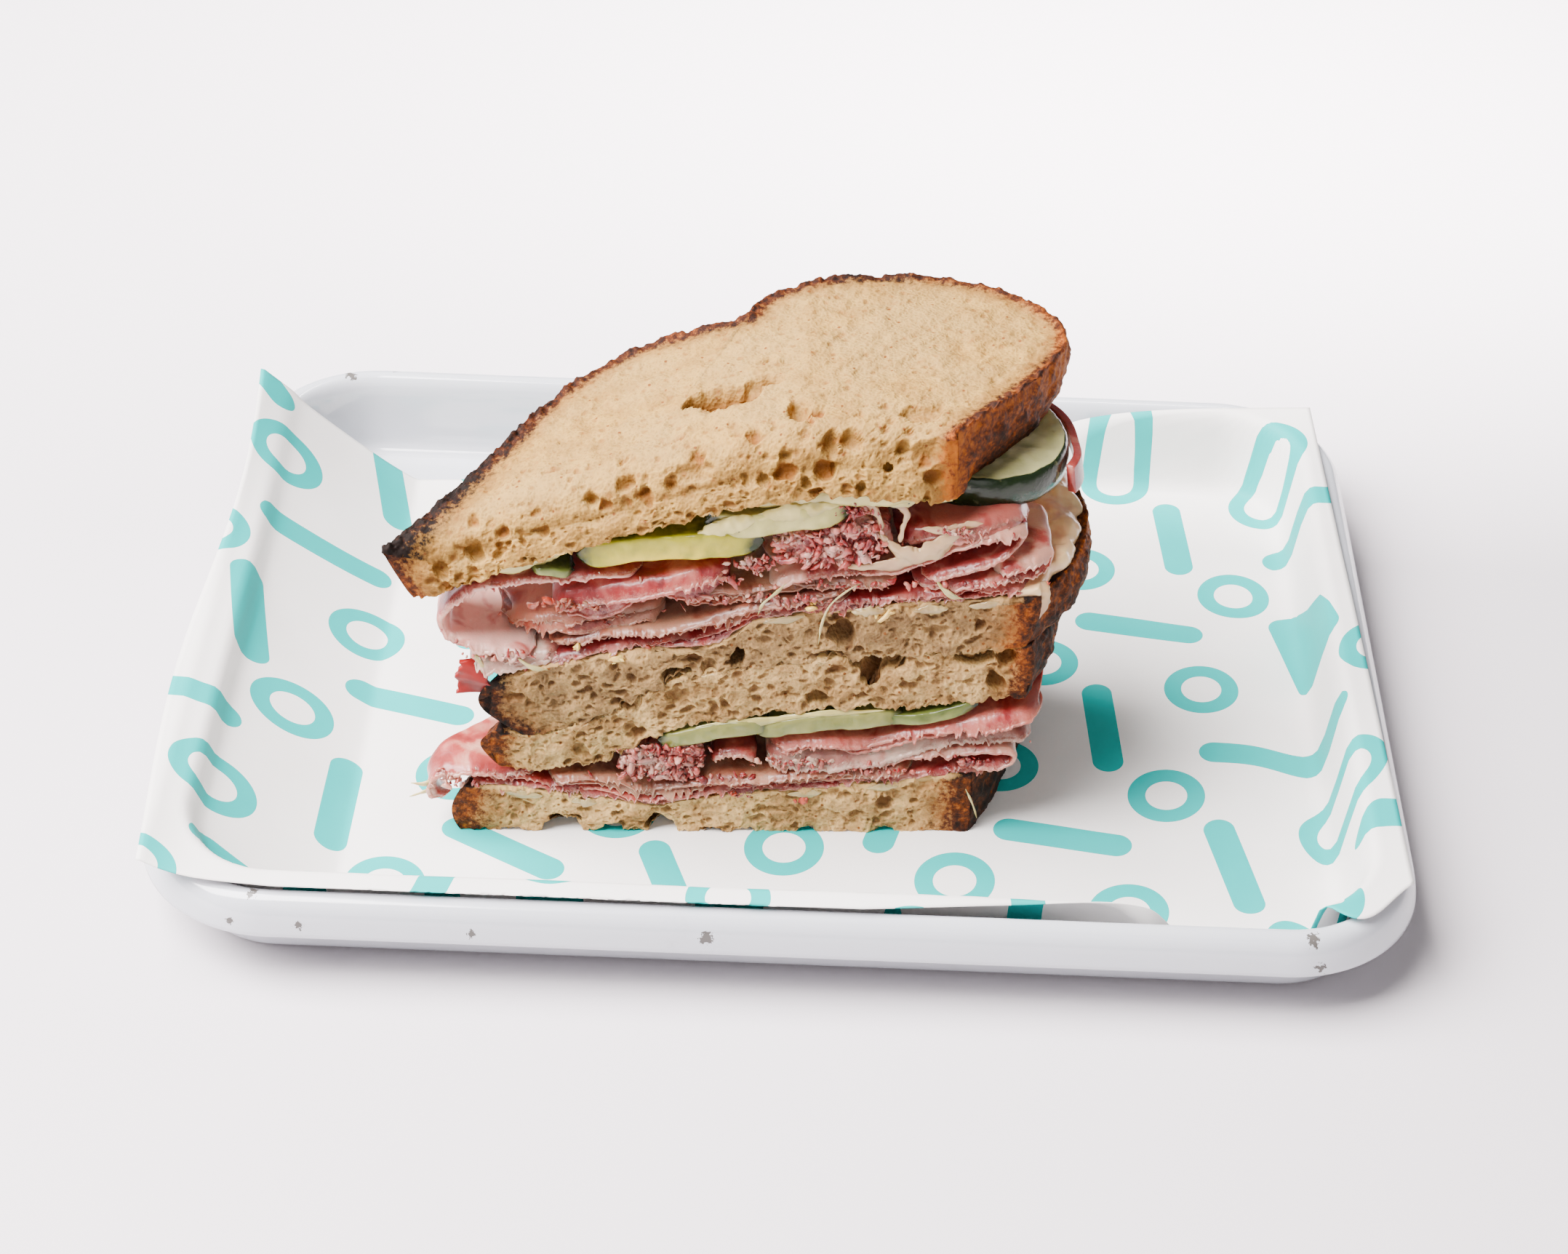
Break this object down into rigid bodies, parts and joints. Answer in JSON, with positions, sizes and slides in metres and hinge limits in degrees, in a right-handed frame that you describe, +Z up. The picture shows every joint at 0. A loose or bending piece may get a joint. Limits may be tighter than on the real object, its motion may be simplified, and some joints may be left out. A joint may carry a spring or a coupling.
{
  "type": "ham sandwich on a paper-lined enamel tray",
  "caption": "Cut ham and gherkin sandwich in sourdough bread, its halves stacked cut face forward on a rolled-rim enamel tray lined with greaseproof paper.",
  "frame": {"origin": "centre of the tray's underside, on the surface it stands on", "axes": "+X along the tray's long side, +Y from the cut faces back into the food, +Z up"},
  "size_m": [0.32, 0.24, 0.1274],
  "materials": {
    "enamel": "white vitreous enamel on pressed steel, glossy, small dark chips at the rim",
    "paper": "greaseproof paper, off-white with turquoise strokes, faint satin",
    "bread": "sourdough: tan open crumb, matte, with a dark baked crust",
    "ham": "cooked ham: pink, moist, pale fat and fibrous cut edges",
    "gherkin": "pickled gherkin: wet yellow-green flesh with a dark green skin",
    "aioli": "off-white spread with fine dark specks, glossy",
    "pepper": "roast red pepper: dark red, wet"
  },
  "bodies": {
    "root": {"tray": "enamel", "paper_liner": "paper", "bread_lower_bottom": "bread", "bread_lower_top": "bread", "bread_upper_bottom": "bread", "bread_upper_top": "bread", "ham_lower_bottom": "ham", "ham_lower_left_fold": "ham", "ham_lower_beige": "ham", "ham_lower_loop": "ham", "ham_lower_right_fold": "ham", "ham_lower_middle": "ham", "ham_lower_top": "ham", "ham_lower_chunk": "ham", "ham_upper_bottom": "ham", "ham_upper_beige": "ham", "ham_upper_left_fold": "ham", "ham_upper_white": "ham", "ham_upper_inner": "ham", "ham_upper_ragged": "ham", "ham_upper_grey": "ham", "ham_upper_thin": "ham", "ham_upper_low_fold": "ham", "ham_upper_right_fold": "ham", "ham_upper_top": "ham", "ham_upper_chunk": "ham", "ham_upper_curl": "ham", "gherkin_lower_1": "gherkin", "gherkin_lower_2": "gherkin", "gherkin_lower_3": "gherkin", "gherkin_upper_1": "gherkin", "gherkin_upper_2": "gherkin", "gherkin_upper_3": "gherkin", "gherkin_upper_4": "gherkin", "pepper_upper": "pepper", "aioli_upper": "aioli", "aioli_upper_right": "aioli", "spread_upper": "aioli"}
  },
  "joints": []
}
